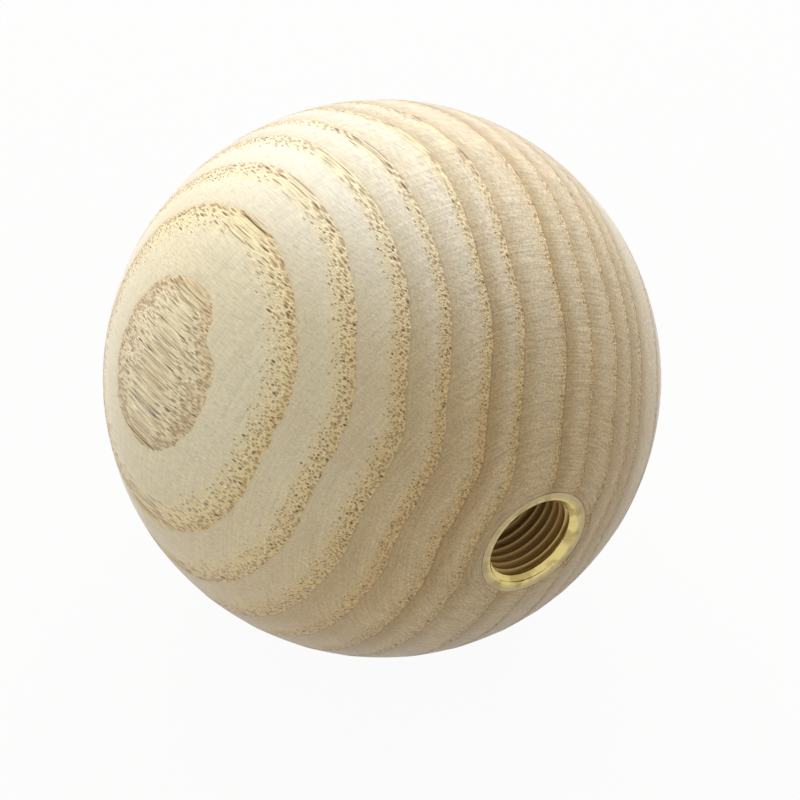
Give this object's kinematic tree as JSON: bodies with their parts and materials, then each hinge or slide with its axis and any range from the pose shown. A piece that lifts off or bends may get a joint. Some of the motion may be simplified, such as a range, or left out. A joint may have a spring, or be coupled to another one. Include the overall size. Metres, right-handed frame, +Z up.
{
  "type": "wooden ball knob",
  "caption": "Turned wooden ball with a flush brass bush, tapped so that the ball screws onto a rod, stud or thin threaded tube.",
  "frame": {"origin": "centre of the flat seat that is turned round the thread's mouth", "axes": "-Y points out of the thread's mouth along the thread's axis, +Z is up, and the ball lies behind the seat along +Y"},
  "size_m": [0.055, 0.0542, 0.055],
  "materials": {
    "wood": "bare or thinly oiled ash, open pores, satin",
    "brass": "turned, bright, unlacquered"
  },
  "bodies": {
    "root": {"wooden_ball": "wood", "threaded_bush": "brass"}
  },
  "joints": []
}
